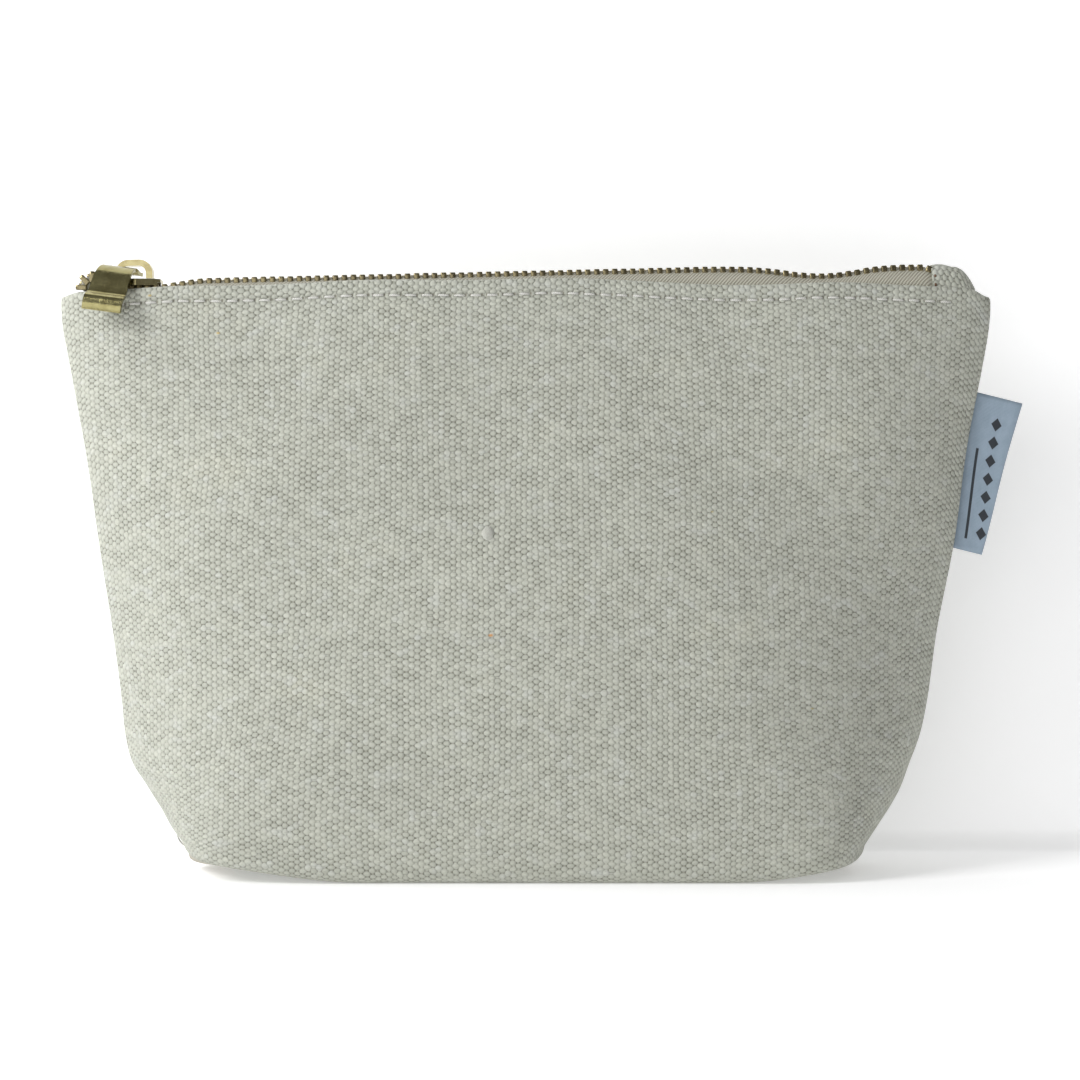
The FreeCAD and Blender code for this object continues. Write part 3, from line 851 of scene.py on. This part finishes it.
def teeth_piece(name, side, node):
    points, faces = tooth_mesh()
    path = edge_path(side)
    all_points, all_faces = [], []
    distance = 0.4 if side < 0 else 0.4 + tooth_pitch / 2
    number = 0
    while True:
        found = walk(path, distance)
        if found is None:
            break
        place, along, out = found
        out = (out - along * out.dot(along)).normalized()
        lift = along.cross(out)
        jitter = noise.noise(Vector((number * 0.73, side * 3.0, 0.5)))
        base = len(all_points)
        for p in points:
            all_points.append(place + along * (p.x + 0.05 * jitter) + out * (p.y + tooth_shift)
                              + lift * (p.z + 0.07 * jitter))
        all_faces += [tuple(base + i for i in face) for face in faces]
        distance += tooth_pitch
        number += 1
    piece = mesh_object(name, all_points, all_faces)
    return dress(piece, tooth_brass, "pouch", "teeth", node)


teeth_piece("teeth_front", -1, "zip_teeth_front")
teeth_piece("teeth_back", 1, "zip_teeth_back")


def round_edges(node, width, material):
    """Soften a metal node's edges and give it its plating."""
    piece = frame["nodes"][node]
    for polygon in piece.data.polygons:
        polygon.use_smooth = True
    bevel = piece.modifiers.new("rounded", "BEVEL")
    bevel.width = width * MM
    bevel.segments = 3
    bevel.limit_method = "ANGLE"
    bevel.angle_limit = math.radians(35)
    bevel.harden_normals = True
    piece.data.materials.clear()
    piece.data.materials.append(material)


round_edges("slider_body", 0.16, slider_brass)
round_edges("puller", 0.12, puller_brass)


# ---------------------------------------------------------------- tab, label, threads

def end_tab():
    """Canvas folded over the end of the zip, sloping down into the corner."""
    half = tab_high.y - 0.55
    grid, lengths = [], []
    steps = 26
    for i in range(steps + 1):
        t = i / steps
        x = tab_low.x + 0.1 + (tab_high.x - tab_low.x - 0.7) * t
        fall = 0.9 * t + 5.4 * max(t - 0.55, 0.0) ** 2 / 0.2025
        top = tab_high.z - 1.45 - 0.8 * fall + 0.35 * math.sin(math.pi * min(t * 2.2, 1.0))
        reach = half * (1 - 0.35 * t * t)
        foot = fold_line(x) - 3.6 * (1 - 0.3 * t)
        row = []
        for j in range(31):
            a = -1 + 2 * j / 30
            bend = abs(a) ** 2.6
            y = reach * math.sin(a * math.pi / 2)
            z = top - (top - foot) * bend
            row.append(Vector((x + 0.25 * math.sin(3 * a), y, z)))
        grid.append(row)
    piece = sheet_object("tab_cloth", grid, cloth_uvs(grid, 0), tab_thickness)
    dress(piece, tab_canvas, "pouch", "canvas", "zip_end_tab")


end_tab()


def side_label():
    """The ribbon: out of the seam in front, round its fold, back into the seam behind."""
    slope = 0.125
    top = label_high.z - 0.9
    length = top - label_low.z - 1.6
    reach_top, reach_bottom = 11.3, 7.4
    sewn = 2.6
    grid, uvs = [], []
    for j in range(37):
        t = j / 36
        z0 = top - length * t
        seam = smooth_table(outline, 2, z0) - 0.4
        reach = reach_top + (reach_bottom - reach_top) * t
        row = []
        ends = [(-sewn, -0.14), (0, -0.16)]
        inner = [(reach * k / 8, -0.22 - 0.10 * math.sin(math.pi * k / 8)) for k in range(1, 8)]
        turn = [(reach - 0.2 + 0.2 * math.cos(a), 0.24 * math.sin(a)) for a in
                (-math.pi / 2, -math.pi / 4, 0, math.pi / 4, math.pi / 2)]
        back_way = [(x, -y) for x, y in reversed(inner)]
        profile = ends + inner + turn + back_way + [(0, 0.16), (-sewn, 0.14)]
        curl = 1.1 * math.sin(math.pi * (t - 0.1)) * 0.5
        for k, (x, y) in enumerate(profile):
            out = max(x, 0.0) / reach_top
            row.append(Vector((seam + x, y - curl * out * out, z0 - slope * 2.0 * max(x, 0.0))))
        run = lengths_along(row)
        uvs.append([(r - sewn, length * t) for r in run])
        grid.append(row)
    piece = sheet_object("label_ribbon", grid, uvs, ribbon_thickness)
    dress(piece, ribbon, "pouch", "label", "side_label")


side_label()


def stitch_run(points_ups):
    """Stitches as bent two-ply threads: each item is start, end, the way out of the cloth."""
    radius, rings, sides, arch, sink = 0.27, 9, 8, 0.42, 0.22
    points, faces, uvs = [], [], []
    for start, end, up in points_ups:
        along = (end - start).normalized()
        up = (up - along * up.dot(along)).normalized()
        across = along.cross(up)
        base = len(points)
        for i in range(rings):
            t = i / (rings - 1)
            middle = start.lerp(end, t) + up * (arch * math.sin(math.pi * t) ** 0.6 - sink)
            thin = radius * (0.55 + 0.45 * math.sin(math.pi * t))
            for k in range(sides):
                angle = 2 * math.pi * k / sides
                points.append(middle + across * (thin * math.cos(angle))
                              + up * (0.8 * thin * math.sin(angle)))
                uvs.append(((end - start).length * t, 1.5 * k / sides))
        for i in range(rings - 1):
            for k in range(sides):
                a = base + i * sides + k
                b = base + i * sides + (k + 1) % sides
                faces.append((a, b, b + sides, a + sides))
        faces.append(tuple(base + k for k in reversed(range(sides))))
        faces.append(tuple(base + (rings - 1) * sides + k for k in range(sides)))
    return points, faces, uvs


def stitches(name, runs, material, slot, *nodes):
    points, faces, uvs = stitch_run(runs)
    piece = mesh_object(name, points, faces, uvs)
    return dress(piece, material, "pouch", slot, *nodes)


def on_front(x, drop, side):
    """A point of the outer cloth below the fold, and the way out of it."""
    z = fold_height - drop
    q = x / smooth_table(outline, 1 if x < 0 else 2, z)
    point = cloth_point(q, z, side)
    point.y += side * (canvas / 2 - 0.22)
    point.z = fold_line(x) - drop
    return point


def topstitch(name, side, node):
    runs = []
    x = stitch_start
    number = 0
    while x < stitch_end:
        sway = 0.14 * noise.noise(Vector((number * 0.31, side, 2.0)))
        slack = 0.16 * noise.noise(Vector((number * 0.9, side, 6.0)))
        start = on_front(x, stitch_drop + sway, side)
        end = on_front(x + stitch_length + slack, stitch_drop + sway + 0.08, side)
        runs.append((start, end, Vector((0, side, 0.1))))
        x += stitch_pitch
        number += 1
    stitches(name, runs, white_thread, "thread", node)


topstitch("topstitch_front", -1, "topstitching_front")
topstitch("topstitch_back", 1, "topstitching_back")


# Stitches down the end tab's left edge, coloured dark brown as painted shadow along that edge.
def tab_threads():
    runs = []
    for side in (-1, 1):
        for i in range(3):
            z = tab_high.z - 3.4 - 2.0 * i
            x = tab_low.x + 0.5
            y = side * (tab_high.y - 0.45 - 0.5 * (i == 0))
            runs.append((Vector((x, y, z)), Vector((x + 0.1, y, z - 0.9)), Vector((0, side, 0))))
    stitches("tab_threads", runs, tab_edge_shadow_thread, "tab_thread", "tab_stitching")


tab_threads()


seam_stitch = 2.6
gusset_x = 70.5                    # the seam across each end of the base


def seam_threads():
    """The closing seams, seen as short stitches sunk in the joints of the cloth."""
    for sign, side_name in ((-1, "left"), (1, "right")):
        column = 1 if sign < 0 else 2
        runs = []
        z = 5.0
        while z < fold_height - 6:
            low = Vector((sign * (smooth_table(outline, column, z) - canvas), 0, z))
            above = z + seam_stitch
            high = Vector((sign * (smooth_table(outline, column, above) - canvas), 0, above))
            runs.append((low, high, Vector((sign, 0, 0))))
            z += stitch_pitch
        stitches("side_seam_" + side_name, runs, white_thread, "thread",
                 "side_seam_thread_" + side_name)
        runs = []
        y = -15.0
        while y < 14.0:
            x = sign * gusset_x
            z = canvas + corner_lift(x)
            runs.append((Vector((x, y, z)), Vector((x, y + seam_stitch, z)), Vector((0, 0, -1))))
            y += stitch_pitch
        stitches("gusset_seam_" + side_name, runs, white_thread, "thread",
                 "gusset_seam_thread_" + side_name)
    runs = []
    x = -66.0
    while x < 64.0:
        ends = [Vector((at, 0, canvas + 0.05 + corner_lift(at))) for at in (x, x + seam_stitch)]
        runs.append((*ends, Vector((0, 0, -1))))
        x += stitch_pitch
    stitches("base_seam", runs, white_thread, "thread", "base_seam_thread")


seam_threads()


def slub():
    """A knot of yarn standing out of the front cloth."""
    slub_x, slub_z, half_wide, half_tall, proud, sunk = -8.2, 75.6, 1.35, 1.70, 0.75, 0.15
    middle = cloth_point(slub_x / 96.0, slub_z, -1)
    middle.y -= canvas / 2
    points, faces, uvs = [], [], []
    rings, sides = 10, 16
    for i in range(rings):
        a = math.pi / 2 * i / (rings - 1)
        for k in range(sides):
            b = 2 * math.pi * k / sides
            lump = 1 + 0.16 * noise.noise(Vector((3 * math.cos(b), 3 * math.sin(b), i * 0.4)))
            lump += 0.04 * math.sin(11 * a)
            x = half_wide * math.cos(a) * math.cos(b) * lump
            z = half_tall * math.cos(a) * math.sin(b) * lump
            points.append(middle + Vector((x, sunk - proud * math.sin(a) * lump, z)))
            uvs.append((x * 2, z * 2))
    for i in range(rings - 1):
        for k in range(sides):
            a, b = i * sides + k, i * sides + (k + 1) % sides
            faces.append((a, a + sides, b + sides, b))
    faces.append(tuple(range(sides)))
    piece = mesh_object("yarn_slub", points, faces, uvs)
    dress(piece, slub_yarn, "pouch", "canvas")


slub()
